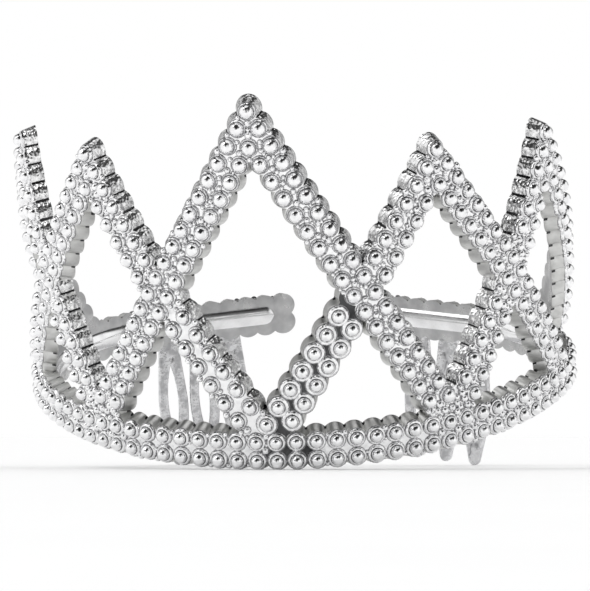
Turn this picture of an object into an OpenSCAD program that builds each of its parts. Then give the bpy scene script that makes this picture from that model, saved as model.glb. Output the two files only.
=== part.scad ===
// Princess crown of silver-coated plastic: an open headband, five beaded peaks whose struts
// cross, and a comb of three loops under each end of the band. It stands as it rests by itself,
// on the front of the band's lower edge and on the tips of the combs.
// Lengths are in millimetres. On the band's wall a place is given by three numbers: s, the
// distance along the band from the middle of the front, z, the height above the band's upper
// row of beads, and d, the distance outward from the line of the bead centres.

/* [Headband] */
// Radius of the front and the sides, on the line of the beads
front_radius = 72; // [66:1:78]
// Angle that the front arc covers on each side of the middle
front_angle = 75; // [70:1:80]
// Radius of the bend on each side of the back
corner_radius = 41; // [36:1:46]
// Heading of the straight arms at the back, 180 being square to the front
arm_heading = 160; // [155:1:170]
// Beads in a row of the band, on each side of the middle
band_beads = 38; // [37:1:38]
// Height of the rounded rib inside the band
rib_height = 5.6; // [4:0.2:7]
// How far that rib stands in from the band
rib_depth = 1.5; // [1:0.1:2]

/* [Beads] */
// Distance between neighbouring beads of a row
bead_pitch = 5; // [4.8:0.1:5.2]
// The same in the two struts that meet at the front, which have larger beads
vee_pitch = 5.5; // [5.2:0.1:5.8]
// Distance between the two rows of a strut or of the band
row_gap = 4.8; // [4.6:0.1:5]
// How far the beads stand out from the plate that carries them
bead_height = 2.5; // [2:0.1:3]
// Thickness of that plate
plate_thickness = 3.5; // [3:0.1:4]
// Width of the plate on its outer face, at the beads
face_width = 9.5; // [9:0.1:10]
// Width of the plate on its inner face, at the beads
back_width = 11.6; // [11:0.1:12]
// Depth of the scallops in the plate's sides
scallop = 0.8; // [0.5:0.1:1]

/* [Peaks] */
// Height of the top bead of the middle peak over the band's upper row
centre_height = 83.5; // [80:0.5:88]
// Height of the top bead of the peaks beside it
middle_height = 69.8; // [66:0.5:72]
// Height of the top bead of the peaks at the sides
end_height = 65; // [62:0.5:67]
// Distance along the band from the front to the feet of the middle peak
centre_foot = 48.8; // [48:0.2:50]
// Distance along the band from the front to the top of the peaks beside it
middle_top = 46.7; // [46:0.2:48]
// Distance along the band from the front to their outer feet
middle_foot = 94; // [92:0.5:96]
// Distance along the band from the front to the top of the side peaks
end_top = 88; // [86:0.5:90]
// Distance along the band from the front to their outer feet
end_foot = 127; // [124:0.5:130]

/* [Combs] */
// Distance between neighbouring loops
loop_pitch = 8.75; // [8.5:0.05:9.2]
// Distance of the last loop from the end of the band
loop_inset = 17.5; // [16:0.5:19]
// Width of a loop
loop_width = 8.1; // [7.6:0.1:8.2]
// Thickness of a loop
loop_thickness = 2; // [1.6:0.1:2.4]
// Height of the loops' tips under the band's upper row of beads
comb_drop = 42; // [40:0.5:44]
// Length of the slot in a loop
slot_length = 20.5; // [18:0.5:21]
// Width of that slot at its middle
slot_width = 2.9; // [2.5:0.1:3.2]
// Angle by which the loops lean in towards the head
comb_lean = 8; // [4:1:10]

/* [Hidden] */
silver = [0.80, 0.80, 0.81];
shade_silver = [0.66, 0.66, 0.68];

// The plate's faces, as distances outward from the line of the bead centres
face_d = -0.5 * bead_height;
back_d = face_d - plate_thickness;
middle_d = (face_d + back_d) / 2;
// What a bead keeps of its height at the neck between two beads
neck_lift = 0.12;
// Rings of the mesh to each bead: at the neck before it and at its two shoulders
ring_phases = [-0.5, -0.2, 0.2];
rings_per_bead = len(ring_phases);
// How far the plate reaches past the middle of a first or last bead, in pitches
end_reach = 0.5;
// How far a strut is carried on into the band, and a cut past the faces of what it cuts
foot_reach = 3;
cut_reach = 3;
// Beads of the band that a foot may meet on each side of its middle
foot_span = 5;
// How far the rows of the two struts that meet at the front are set back, in beads: first the
// rows on the side of the middle, then the others
vee_shifts = [0.5, 0.75];
// Seam between two pieces that meet
seam = 0.02;
// How far the two struts of a peak reach into each other at its middle
peak_overlap = 0.1;

band_half_length = band_beads * bead_pitch;
band_middle_z = -row_gap / 2;
front_arc = front_radius * front_angle * PI / 180;
corner_arc = corner_radius * (arm_heading - front_angle) * PI / 180;

// Heading of the wall at the distance a from the front, 0 being across the front
function heading(a) =
  a < front_arc ? a / front_radius * 180 / PI
  : a < front_arc + corner_arc ? front_angle + (a - front_arc) / corner_radius * 180 / PI
  : arm_heading;

// Place in the plan at the distance a from the front, on the right side
function plan_point(a) =
  let (
    turn = heading(a),
    first = min(turn, front_angle),
    straight = max(a - front_arc - corner_arc, 0)
  )
  front_radius * [sin(first), 1 - cos(first)]
  + corner_radius * [sin(turn) - sin(first), cos(first) - cos(turn)]
  + straight * [cos(turn), sin(turn)];

// Point of the wall in the crown's own frame
function wall_point(s, z, d) =
  let (
    side = s < 0 ? -1 : 1,
    turn = heading(abs(s)),
    p = plan_point(abs(s)) + d * [sin(turn), -cos(turn)]
  )
  [side * p.x, p.y, z];

// Place of a ring in the row, counted in beads, and the ring nearest to such a place
function ring_phase(ring) = floor(ring / rings_per_bead)
  + ring_phases[ring - rings_per_bead * floor(ring / rings_per_bead)];
function nearest_ring(place) = round((place + 0.5) * rings_per_bead);

// How far a bead fills its pitch at the given phase: 1 round its middle, 0 at the neck
function bulge(phase) = min(max(0.5 + 1.5 * cos(360 * phase), 0), 1);

// Half of a plate's width where its beads fill their pitch so far
function half_width(width, fill, gap) = width / 2 - scallop * (1 - fill) + (gap - row_gap) / 2;

// Section of a strip of beads, from the fill of its two rows, as points across and outward
function bead_section(low, high, gap) =
  let (top = function (fill) face_d + bead_height * (neck_lift + (1 - neck_lift) * fill))
  [
    [-half_width(back_width, low, gap), back_d],
    [half_width(back_width, high, gap), back_d],
    [half_width(face_width, high, gap), face_d],
    [gap / 2, top(high)],
    [0, face_d + bead_height * neck_lift],
    [-gap / 2, top(low)],
    [-half_width(face_width, low, gap), face_d]
  ];

// Section of the space that the same strip takes out of a piece that meets it
function cut_section(low, high, gap) =
  let (
    back_high = half_width(back_width, high, gap) + seam,
    face_high = half_width(face_width, high, gap) + seam,
    back_low = half_width(back_width, low, gap) + seam,
    face_low = half_width(face_width, low, gap) + seam
  )
  [
    [-back_low, back_d - cut_reach],
    [back_high, back_d - cut_reach],
    [back_high, back_d],
    [face_high, face_d],
    [face_high, bead_height + cut_reach],
    [-face_low, bead_height + cut_reach],
    [-face_low, face_d],
    [-back_low, back_d]
  ];

// Faces of a tube of rings with the given number of points each, closed at both ends
function tube_faces(rings, points) =
  concat(
    [[for (j = [0:points - 1]) j]],
    [[for (j = [points - 1:-1:0]) (rings - 1) * points + j]],
    [
      for (i = [0:rings - 2], j = [0:points - 1])
        let (k = (j + 1) % points)
        each [
          [i * points + j, (i + 1) * points + j, (i + 1) * points + k],
          [i * points + j, (i + 1) * points + k, i * points + k]
        ]
    ]
  );

module tube(rings) {
  polyhedron(
    points = [for (ring = rings) each ring],
    faces = tube_faces(len(rings), len(rings[0]))
  );
}

// Two rows of beads on their plate. The strip starts at the place from on the wall and runs in
// the direction angle between the distances first and last, counted in beads. The shifts set
// the rows back along it: high is the row on its left hand, low the one on its right.
module strip(from, angle, first, last, pitch, gap, high_shift, low_shift, cut = false) {
  along = [cos(angle), sin(angle)];
  across = [-sin(angle), cos(angle)];
  tube([
    for (ring = [nearest_ring(first):nearest_ring(last)])
      let (
        phase = ring_phase(ring),
        high = bulge(phase - high_shift),
        low = bulge(phase - low_shift)
      )
      [
        for (q = cut ? cut_section(low, high, gap) : bead_section(low, high, gap))
          let (place = from + phase * pitch * along + q.x * across)
          wall_point(place.x, place.y, q.y)
      ]
  ]);
}

// A strut is [top, foot, height]: where its peak and its foot stand along the band, and how
// high the peak's top bead lies. That bead is the first of the strut's outer row.
centre_strut = [0, centre_foot, centre_height];
middle_inner = [middle_top, 0, middle_height];
middle_outer = [middle_top, middle_foot, middle_height];
end_inner = [end_top, centre_foot, end_height];
end_outer = [end_top, end_foot, end_height];

// Angle at the foot between the strut's middle line and the line to the top bead
function bead_angle(strut) = asin(row_gap / 2 / norm([strut[1] - strut[0], strut[2]]));
// Length of the strut's middle line from beside the top bead down to the foot
function strut_length(strut) = norm([strut[1] - strut[0], strut[2]]) * cos(bead_angle(strut));
// Direction down the strut, along the band and up
function strut_run(strut) =
  let (
    side = strut[1] > strut[0] ? 1 : -1,
    slope = atan2(strut[2], abs(strut[1] - strut[0])) - bead_angle(strut)
  )
  [side * cos(slope), -sin(slope)];
// Place on the strut's middle line beside the top bead
function strut_start(strut) = [strut[1], 0] - strut_length(strut) * strut_run(strut);
// Distance down a strut to the place where another one crosses it
function crossing(strut, other) =
  let (
    run = strut_run(strut),
    other_run = strut_run(other),
    apart = strut_start(other) - strut_start(strut)
  )
  cross(apart, other_run) / cross(run, other_run);

// Part of a strut between two distances down from its top bead. The shifts set its two rows back
// along it, counted in beads.
module strut_part(
  strut, from, to, pitch = bead_pitch, outer_shift = 0, inner_shift = 0.5, cut = false
) {
  run = strut_run(strut);
  outer_is_high = strut[1] > strut[0];
  strip(
    strut_start(strut), atan2(run.y, run.x), from / pitch, to / pitch, pitch, row_gap,
    outer_is_high ? outer_shift : inner_shift, outer_is_high ? inner_shift : outer_shift, cut
  );
}

module whole_strut(strut, cut = false) {
  strut_part(strut, -end_reach * bead_pitch, strut_length(strut) + foot_reach, cut = cut);
}

// Keeps of a strut what lies on its own side of the plane through the middle of its peak
module own_side(strut) {
  size = 2 * centre_height;
  side = strut[1] > strut[0] ? 1 : -1;
  intersection() {
    children();
    translate(wall_point(strut[0], strut[2], 0))
      rotate([0, 0, heading(strut[0])])
        translate([side * (size / 2 - peak_overlap), 0, 0])
          cube(size, center = true);
  }
}

module both_sides() {
  children();
  mirror([1, 0, 0])
    children();
}

// Stretch of the band between two of its beads, the same on each side of the middle, or the
// space that it takes
module band_stretch(from_bead, to_bead, cut = false) {
  both_sides()
    strip(
      [bead_pitch / 2, band_middle_z], 0, from_bead - end_reach, to_bead - end_reach,
      bead_pitch, row_gap, 0, 0, cut
    );
}

// What stands on the band at the given distance from its middle, with the band's space cut
// from it
module on_band(foot) {
  foot_bead = round(foot / bead_pitch);
  difference() {
    children();
    band_stretch(max(foot_bead - foot_span, 0), foot_bead + foot_span, cut = true);
  }
}

// Joins its pieces into one
module fused() {
  resize([0, 0, 0])
    union()
      children();
}

// Rounded rib along the inside of the band, with round ends near the band's ends
rib_end = band_half_length - bead_pitch;
// Width of the rib's crest as a share of its height, and how far its foot is sunk in the plate
rib_crest = 0.45;
rib_sink = 0.3;
module rib() {
  round_angles = [85, 60, 30];
  reach = rib_end - rib_height / 2;
  stations = concat(
    [for (a = round_angles) [-reach - rib_height / 2 * sin(a), cos(a)]],
    [for (i = [0:band_beads]) [reach * (2 * i / band_beads - 1), 1]],
    [for (i = [2:-1:0]) [reach + rib_height / 2 * sin(round_angles[i]), cos(round_angles[i])]]
  );
  tube([
    for (q = stations)
      [
        for (p = [[-1, rib_sink], [-rib_crest, -rib_depth * q[1]],
                  [rib_crest, -rib_depth * q[1]], [1, rib_sink]])
          wall_point(q[0], band_middle_z + p[0] * q[1] * rib_height / 2, back_d + p[1])
      ]
  ]);
}

// The loops hang from the middle of the plate's lower side and lean in towards the head.
loop_root_z = band_middle_z - back_width / 2;
loop_length = (comb_drop + loop_root_z) / cos(comb_lean);
loop_tip_radius = 1.5;
loop_neck_width = 5;
// How far a loop's neck reaches down from the plate, and how far it is carried on into it
neck_length = 2;
neck_reach = 3;
// Distance of the slot's middle from the plate, as a share of the loop's length
slot_place = 0.47;
function loop_place(number) = band_half_length - loop_inset - (number - 1) * loop_pitch;

// Pointed oval with its tips at y = length / 2 above and below the middle
module pointed_oval(length, width) {
  radius = (length * length + width * width) / width / 4;
  intersection() {
    translate([radius - width / 2, 0])
      circle(r = radius, $fn = 96);
    translate([width / 2 - radius, 0])
      circle(r = radius, $fn = 96);
  }
}

module loop_outline() {
  difference() {
    hull() {
      translate([0, -loop_length / 2])
        pointed_oval(loop_length, loop_width);
      translate([0, loop_tip_radius - loop_length])
        circle(r = loop_tip_radius, $fn = 16);
      translate([-loop_neck_width / 2, -neck_length])
        square([loop_neck_width, neck_length + neck_reach]);
    }
    translate([0, -slot_place * loop_length])
      pointed_oval(slot_length, slot_width);
  }
}

module loop(number) {
  s = loop_place(number);
  on_band(s)
    translate(wall_point(s, loop_root_z, middle_d))
      rotate([0, 0, heading(s)])
        rotate([90 + comb_lean, 0, 0])
          translate([0, 0, -loop_thickness / 2])
            linear_extrude(height = loop_thickness)
              loop_outline();
}

// At rest the crown leans forward on the underside of the band's front and on the tips of the
// two loops nearest to the bends. Each place is given as y and z.
front_rest = [-face_d, band_middle_z - face_width / 2];
front_back_rest = [-back_d, band_middle_z - back_width / 2];
tip_rest =
  let (tip = wall_point(
    loop_place(3),
    loop_root_z - loop_length * cos(comb_lean) + loop_thickness / 2 * sin(comb_lean),
    middle_d - loop_length * sin(comb_lean) - loop_thickness / 2 * cos(comb_lean)
  ))
  [tip.y, tip.z];
rest_angle = atan2(front_rest.y - tip_rest.y, tip_rest.x - front_rest.x);
function turned(place) =
  [
    place.x * cos(rest_angle) - place.y * sin(rest_angle),
    place.x * sin(rest_angle) + place.y * cos(rest_angle)
  ];
rest_lift = -min(turned(front_rest).y, turned(front_back_rest).y, turned(tip_rest).y);
// The crown's depth at rest runs from its top bead to the tips of the loops nearest to the
// arms' ends, where the outer edge of the rounded tip reaches furthest.
front_most = turned([face_d, centre_height]).x;
back_most = max([
  for (a = [0:10:180])
    let (
      across = loop_tip_radius * cos(a),
      down = loop_length - loop_tip_radius * (1 - sin(a)),
      out = middle_d - down * sin(comb_lean) + loop_thickness / 2 * cos(comb_lean),
      below = down * cos(comb_lean) + loop_thickness / 2 * sin(comb_lean),
      edge = wall_point(loop_place(1) + across, loop_root_z - below, out)
    )
    turned([edge.y, edge.z]).x
]);
module at_rest() {
  translate([0, -(front_most + back_most) / 2, rest_lift])
    rotate([rest_angle, 0, 0])
      children();
}

module headband() {
  at_rest()
    fused() {
      band_stretch(0, band_beads);
      rib();
    }
}

module centre_peak() {
  at_rest()
    fused()
      on_band(centre_foot)
        both_sides()
          own_side(centre_strut)
            whole_strut(centre_strut);
}

// The lower parts of the struts that come down from the peaks on each side to the front
module front_vee() {
  at_rest()
    fused()
      difference() {
        on_band(0)
          both_sides()
            strut_part(
              middle_inner, crossing(middle_inner, centre_strut),
              strut_length(middle_inner) + foot_reach, vee_pitch, vee_shifts[0], vee_shifts[1]
            );
        both_sides()
          whole_strut(centre_strut, cut = true);
      }
}

module middle_peak() {
  difference() {
    on_band(middle_foot) {
      own_side(middle_inner)
        strut_part(
          middle_inner, -end_reach * bead_pitch, crossing(middle_inner, centre_strut)
        );
      own_side(middle_outer)
        whole_strut(middle_outer);
    }
    whole_strut(centre_strut, cut = true);
  }
}

module end_peak() {
  difference() {
    on_band(end_foot) {
      own_side(end_inner)
        strut_part(end_inner, -end_reach * bead_pitch, crossing(end_inner, middle_outer));
      own_side(end_outer)
        whole_strut(end_outer);
    }
    whole_strut(middle_outer, cut = true);
  }
}

// The lower part of the side peak's inner strut, between the struts that it meets
module side_strut() {
  difference() {
    on_band(centre_foot)
      strut_part(
        end_inner, crossing(end_inner, middle_outer), strut_length(end_inner) + foot_reach
      );
    whole_strut(middle_outer, cut = true);
    whole_strut(centre_strut, cut = true);
  }
}

// A piece on the right side at rest, and its mirror image on the left side
module right_piece() {
  at_rest()
    fused()
      children();
}

module left_piece() {
  at_rest()
    fused()
      mirror([1, 0, 0])
        children();
}

module left_middle_peak() color(silver) left_piece() middle_peak();
module right_middle_peak() color(silver) right_piece() middle_peak();
module left_end_peak() color(silver) left_piece() end_peak();
module right_end_peak() color(silver) right_piece() end_peak();
module left_side_strut() color(silver) left_piece() side_strut();
module right_side_strut() color(silver) right_piece() side_strut();
module left_loop(number) color(shade_silver) left_piece() loop(number);
module right_loop(number) color(shade_silver) right_piece() loop(number);

color(silver) headband();
color(silver) centre_peak();
color(silver) front_vee();
left_middle_peak();
right_middle_peak();
left_end_peak();
right_end_peak();
left_side_strut();
right_side_strut();
left_loop(1);  // left_loop_1
left_loop(2);  // left_loop_2
left_loop(3);  // left_loop_3
right_loop(1);  // right_loop_1
right_loop(2);  // right_loop_2
right_loop(3);  // right_loop_3
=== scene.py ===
"""Dresses the princess crown: beads on saucers, scalloped plates, rib, combs and studio.

Lengths in the classes are in millimetres, as in the crown's source. A place on the band's wall is
given by s, the distance along the band from the middle of the front, z, the height above the
band's upper row of beads, and d, the distance outward from the line of the bead centres.
"""

import logging
import math
from dataclasses import dataclass, replace
from enum import Enum, IntEnum
from typing import Any, Optional, Sequence

import bpy
import numpy as np
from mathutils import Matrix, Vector

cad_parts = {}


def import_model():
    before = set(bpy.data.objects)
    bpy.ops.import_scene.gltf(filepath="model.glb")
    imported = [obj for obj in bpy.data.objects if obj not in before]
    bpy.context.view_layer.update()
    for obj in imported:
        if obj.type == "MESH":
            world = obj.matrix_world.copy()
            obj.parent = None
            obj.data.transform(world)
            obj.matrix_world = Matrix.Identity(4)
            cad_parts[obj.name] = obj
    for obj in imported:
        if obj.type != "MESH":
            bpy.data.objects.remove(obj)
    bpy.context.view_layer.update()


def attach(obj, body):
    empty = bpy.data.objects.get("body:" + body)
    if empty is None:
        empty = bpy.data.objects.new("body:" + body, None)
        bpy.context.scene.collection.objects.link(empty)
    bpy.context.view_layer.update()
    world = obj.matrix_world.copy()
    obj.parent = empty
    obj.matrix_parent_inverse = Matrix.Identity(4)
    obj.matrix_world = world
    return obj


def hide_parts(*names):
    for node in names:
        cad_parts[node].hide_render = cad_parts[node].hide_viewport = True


LOG = logging.getLogger("crown")
# Metres in a millimetre.
MM = 0.001
# Angle in degrees from which an edge of a rounded piece stays sharp.
ROUND_CREASE = 50.0


class Side(Enum):
    """The crown's two halves as the camera sees them, with the sign of their x."""

    LEFT = -1
    RIGHT = 1

    @property
    def word(self) -> str:
        """The side's name as the nodes use it."""
        return self.name.lower()


class Slot(Enum):
    """The record's material slots."""

    COATED = "coated_plastic"
    COMB = "comb_plastic"


class PlateKind(IntEnum):
    """The materials of a plate, in their order."""

    FACE = 0
    # Satin walls, darker by painted shade.
    WALL = 1
    BACK = 2
    SHADOW = 3
    GLOSS = 4


class BeadKind(IntEnum):
    """The materials of a piece's beads, in their order."""

    BALL = 0
    # Painted shade in the grooves and in the rings about the feet of beads and pips.
    GROOVE = 1
    BEZEL = 2


# Shader nodes


class Socket:
    """One output of a shader node, with the arithmetic that the finishes use."""

    def __init__(self, tree: "NodeTree", link: Any) -> None:
        """Wraps link, an output socket of a node in tree."""
        self.tree = tree
        self.link = link

    def _maths(self, operation: str, *values: Any) -> "Socket":
        """Adds a Math node that works on values."""
        return self.tree.add("Math", {"operation": operation}, dict(enumerate(values)))

    def __add__(self, other: Any) -> "Socket":
        """Self plus other."""
        return self._maths("ADD", self, other)

    def __sub__(self, other: Any) -> "Socket":
        """Self minus other."""
        return self._maths("SUBTRACT", self, other)

    def __rsub__(self, other: Any) -> "Socket":
        """Other minus self."""
        return self._maths("SUBTRACT", other, self)

    def __mul__(self, other: Any) -> "Socket":
        """Self times other."""
        return self._maths("MULTIPLY", self, other)

    def __pow__(self, other: Any) -> "Socket":
        """Self to the power of other."""
        return self._maths("POWER", self, other)

    __radd__ = __add__
    __rmul__ = __mul__

    def clamp(self) -> "Socket":
        """Self kept between 0 and 1."""
        return self.tree.add("Math", {"operation": "ADD", "use_clamp": True}, {0: self, 1: 0.0})

    def step(self, low: float, high: float) -> "Socket":
        """A smooth rise from 0 at low to 1 at high, or a fall where low is the larger."""
        return self.tree.add(
            "MapRange",
            {"interpolation_type": "SMOOTHSTEP"},
            {"Value": self, "From Min": low, "From Max": high, "To Min": 0.0, "To Max": 1.0},
        )

    def between(self, low: float, high: float, blur: float) -> "Socket":
        """1 between low and high and 0 elsewhere, with borders that are blur wide."""
        return self.step(low, low + blur) * self.step(high, high - blur)

    def mix(self, low: Sequence[float], high: Sequence[float]) -> "Socket":
        """The colour that lies between low and high as far as self says."""
        return self.tree.add(
            "Mix",
            {"data_type": "RGBA"},
            {"Factor": self, 6: (*low, 1.0), 7: (*high, 1.0)},
            output=2,
        )


class NodeTree:
    """A material's or world's node tree."""

    def __init__(self, owner: Any) -> None:
        """Clears owner's nodes."""
        owner.use_nodes = True
        self.tree = owner.node_tree
        self.tree.nodes.clear()

    def add(
        self, kind: str, settings: dict[str, Any], inputs: dict[Any, Any], output: Any = 0
    ) -> Socket:
        """Adds a node.

        Args:
            kind: The node's type without its prefix, such as "TexNoise".
            settings: The node's own settings, set before its sockets.
            inputs: Values or Sockets by socket name or number.
            output: Name or number of the output that is wanted.

        Returns:
            That output.
        """
        node = self.tree.nodes.new("ShaderNode" + kind)
        for name, value in settings.items():
            setattr(node, name, value)
        for key, value in inputs.items():
            if isinstance(value, Socket):
                self.tree.links.new(value.link, node.inputs[key])
            else:
                node.inputs[key].default_value = value
        return Socket(self, node.outputs[output] if node.outputs else None)

    def place(self) -> Socket:
        """The surface's place in the object's own frame, in metres."""
        return self.add("TexCoord", {}, {}, "Object")

    def noise(self, vector: Socket, size: float, detail: float = 2.0) -> Socket:
        """Soft noise whose lumps are about size millimetres across."""
        return self.add(
            "TexNoise",
            {"noise_dimensions": "3D"},
            {"Vector": vector, "Scale": 1 / (size * MM), "Detail": detail},
        )

    def grains(self, vector: Socket, size: float) -> Socket:
        """Distance from the middle of random grains of about size millimetres."""
        return self.add(
            "TexVoronoi", {"feature": "F1"}, {"Vector": vector, "Scale": 1 / (size * MM)}
        )

    def bump(self, height: Socket, depth: float) -> Socket:
        """A Bump node, with the height's full range depth millimetres deep."""
        return self.add("Bump", {}, {"Strength": 1.0, "Distance": depth * MM, "Height": height})

    def finish(self, sockets: dict[str, Any]) -> None:
        """Ends a material in one Principled shader with these sockets."""
        shader = self.add("BsdfPrincipled", {}, sockets)
        self.add("OutputMaterial", {}, {"Surface": shader})


@dataclass(frozen=True)
class Silvering:
    """A metallised finish on moulded plastic.

    Args:
        name: The material's name.
        light: Colour of the metal where it is cleanest.
        shade: Colour where the coat is thin or dull.
        roughness: Roughness of the clean metal, and what the dull places add to it.
        patch: Size in millimetres of the dull places.
        grain: Size in millimetres of the surface's small grains.
        relief: Depth in millimetres of those grains.
        swell: Depth in millimetres of the slow waves that moulding leaves.
    """

    name: str
    light: tuple[float, float, float]
    shade: tuple[float, float, float]
    roughness: tuple[float, float]
    patch: float
    grain: float
    relief: float
    swell: float

    # Size of the slow waves over the size of the dull places.
    WAVE = 1.7

    def make(self) -> bpy.types.Material:
        """Builds the material."""
        material = bpy.data.materials.new(self.name)
        tree = NodeTree(material)
        place = tree.place()
        dull = tree.noise(place, self.patch, detail=3.0).step(low=0.35, high=0.72)
        grain = tree.grains(place, self.grain)
        wave = tree.noise(place, self.patch * self.WAVE, detail=1.0)
        depth = self.relief + self.swell
        height = grain * (self.relief / depth) + wave * (self.swell / depth)
        tree.finish(
            {
                "Base Color": dull.mix(self.light, self.shade),
                "Metallic": 1.0,
                "Roughness": dull * self.roughness[1] + self.roughness[0],
                "Normal": tree.bump(height, depth),
            }
        )
        return material


class Finishes:
    """The crown's finishes, each made once."""

    BALL = Silvering(
        "bright_bead", light=(0.97, 0.97, 0.975), shade=(0.84, 0.84, 0.85),
        roughness=(0.03, 0.06), patch=1.3, grain=0.9, relief=0.03, swell=0.30,
    )
    BEZEL = Silvering(
        "bright_bezel", light=(0.97, 0.97, 0.975), shade=(0.66, 0.66, 0.67),
        roughness=(0.06, 0.10), patch=1.1, grain=0.8, relief=0.14, swell=0.26,
    )
    FACE = Silvering(
        "bright_face", light=(0.97, 0.97, 0.975), shade=(0.82, 0.82, 0.83),
        roughness=(0.06, 0.14), patch=2.2, grain=1.1, relief=0.16, swell=0.06,
    )
    # Painted shadow on dark stretches of face and in the notches between the walls' scallops.
    SHADOW = Silvering(
        "painted_shadow_face", light=(0.08, 0.08, 0.082), shade=(0.04, 0.04, 0.042),
        roughness=(0.22, 0.16), patch=3.0, grain=0.8, relief=0.03, swell=0.03,
    )
    # Painted shade for the grooves and the rings about the feet of beads and pips.
    GROOVE = Silvering(
        "painted_groove_shade", light=(0.34, 0.34, 0.345), shade=(0.20, 0.20, 0.205),
        roughness=(0.20, 0.16), patch=2.0, grain=0.8, relief=0.02, swell=0.03,
    )
    # Satin, and darker by painted shade where the walls face down and in.
    WALL = Silvering(
        "satin_wall_painted_shade", light=(0.68, 0.68, 0.668), shade=(0.56, 0.56, 0.55),
        roughness=(0.30, 0.14), patch=3.2, grain=0.35, relief=0.008, swell=0.04,
    )
    GLOSS = Silvering(
        "bright_wall", light=(0.95, 0.95, 0.95), shade=(0.50, 0.50, 0.505),
        roughness=(0.14, 0.12), patch=1.2, grain=0.8, relief=0.14, swell=0.12,
    )
    BACK = Silvering(
        "satin_back", light=(0.54, 0.54, 0.54), shade=(0.42, 0.42, 0.425),
        roughness=(0.26, 0.16), patch=5.0, grain=0.4, relief=0.008, swell=0.05,
    )
    RIB = Silvering(
        "bright_rib", light=(0.92, 0.92, 0.925), shade=(0.78, 0.78, 0.785),
        roughness=(0.12, 0.14), patch=6.0, grain=0.5, relief=0.004, swell=0.05,
    )
    COMB = Silvering(
        "grainy_comb", light=(0.74, 0.74, 0.75), shade=(0.46, 0.46, 0.47),
        roughness=(0.20, 0.22), patch=2.2, grain=0.75, relief=0.10, swell=0.05,
    )

    def __init__(self) -> None:
        """Makes every finish."""
        self.made = {
            finish.name: finish.make()
            for finish in vars(Finishes).values()
            if isinstance(finish, Silvering)
        }

    def of(self, finish: Silvering) -> bpy.types.Material:
        """The material of a finish."""
        return self.made[finish.name]


# The band's wall


@dataclass
class Wall:
    """The curved wall that carries the band and the peaks, and how the crown rests.

    Args:
        front_radius: Radius of the front's arc, at the line of the bead centres.
        front_angle: Angle in degrees through which that arc turns on each side.
        corner_radius: Radius of the arc from there to the straight arm.
        arm_heading: Heading of the arm in degrees, 0 being the front's.
        rest_angle: Angle in degrees by which the crown leans forward at rest.
        rest_shift: How far it is moved along y, so that its box is about the origin.
        rest_lift: How far it is raised, so that it stands on the floor.
    """

    front_radius: float = 72.0
    front_angle: float = 75.0
    corner_radius: float = 41.0
    arm_heading: float = 160.0
    rest_angle: float = 20.4631
    rest_shift: float = -40.143
    rest_lift: float = 6.2618

    @property
    def front_arc(self) -> float:
        """Length of the front's arc on one side."""
        return self.front_radius * math.radians(self.front_angle)

    @property
    def corner_arc(self) -> float:
        """Length of the arc from there to the arm."""
        turn = math.radians(self.arm_heading) - math.radians(self.front_angle)
        return self.corner_radius * turn

    def heading(self, a: np.ndarray) -> np.ndarray:
        """Heading of the wall in radians at the distances a from the front."""
        bend = math.radians(self.front_angle) + (a - self.front_arc) / self.corner_radius
        corner_end = self.front_arc + self.corner_arc
        behind = np.where(a < corner_end, bend, math.radians(self.arm_heading))
        return np.where(a < self.front_arc, a / self.front_radius, behind)

    def point(self, s: np.ndarray, z: np.ndarray, d: np.ndarray) -> np.ndarray:
        """Points of the wall in the crown's own frame, before it is laid at rest.

        Args:
            s: Distances along the band, negative on the left side.
            z: Heights above the band's upper row of beads.
            d: Distances outward from the line of the bead centres.

        Returns:
            The points, with x, y and z along the last axis.
        """
        s, z, d = np.broadcast_arrays(np.asarray(s, float), z, d)
        side, a = np.where(s < 0, -1.0, 1.0), np.abs(s)
        turn = self.heading(a)
        first = np.minimum(turn, math.radians(self.front_angle))
        straight = np.maximum(a - self.front_arc - self.corner_arc, 0)
        x = (
            self.front_radius * np.sin(first)
            + self.corner_radius * (np.sin(turn) - np.sin(first))
            + straight * np.cos(turn)
            + d * np.sin(turn)
        )
        y = (
            self.front_radius * (1 - np.cos(first))
            + self.corner_radius * (np.cos(first) - np.cos(turn))
            + straight * np.sin(turn)
            - d * np.cos(turn)
        )
        return np.stack([side * x, y, z], -1)

    def rest(self, points: np.ndarray) -> np.ndarray:
        """The same points where they lie at rest, in metres."""
        turn = math.radians(self.rest_angle)
        x, y, z = points[..., 0], points[..., 1], points[..., 2]
        return MM * np.stack(
            [
                x,
                y * math.cos(turn) - z * math.sin(turn) + self.rest_shift,
                y * math.sin(turn) + z * math.cos(turn) + self.rest_lift,
            ],
            -1,
        )

    def place(self, s: Any, z: Any, d: Any) -> np.ndarray:
        """Places on the wall at rest, in metres."""
        return self.rest(self.point(s, z, d))


# Meshes


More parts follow.
